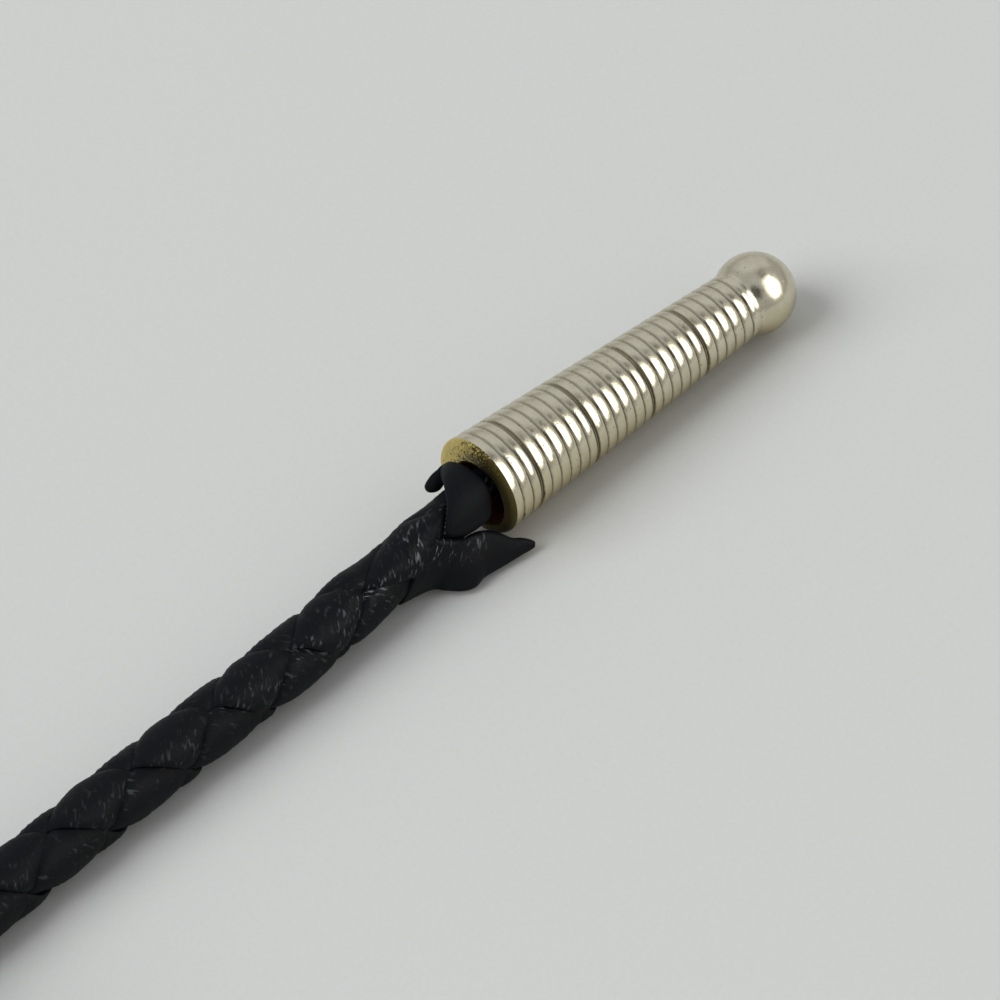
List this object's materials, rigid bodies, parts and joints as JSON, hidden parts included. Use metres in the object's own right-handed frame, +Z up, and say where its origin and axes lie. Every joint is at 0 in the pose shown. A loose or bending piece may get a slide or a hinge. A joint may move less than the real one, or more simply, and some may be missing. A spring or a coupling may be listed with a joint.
{
  "type": "bolo tie",
  "caption": "Bolo tie laid flat: a round braided leather cord drawn double through a plain domed oval slide, with a ribbed metal ball-ended tip on each free tail.",
  "frame": {"origin": "centre of the flat back of the slide's cord guide, on the surface that the bolo tie lies on", "axes": "+X from the slide along the seen tail towards its tip, the neck loop towards -X, +Z up from the surface"},
  "size_m": [0.4352, 0.1465, 0.0108],
  "materials": {
    "braided_leather": "black dyed leather strands, slightly glossy, creased and scuffed",
    "tip_nickel": "nickel plate over brass, bright, with dark tarnish in the grooves",
    "slide_nickel": "polished nickel plate"
  },
  "bodies": {
    "root": {"slide": "slide_nickel", "neck_loop": "braided_leather", "tail_a_cord": "braided_leather", "tip_a": "tip_nickel", "tail_b_cord": "braided_leather", "tip_b": "tip_nickel"}
  },
  "joints": []
}
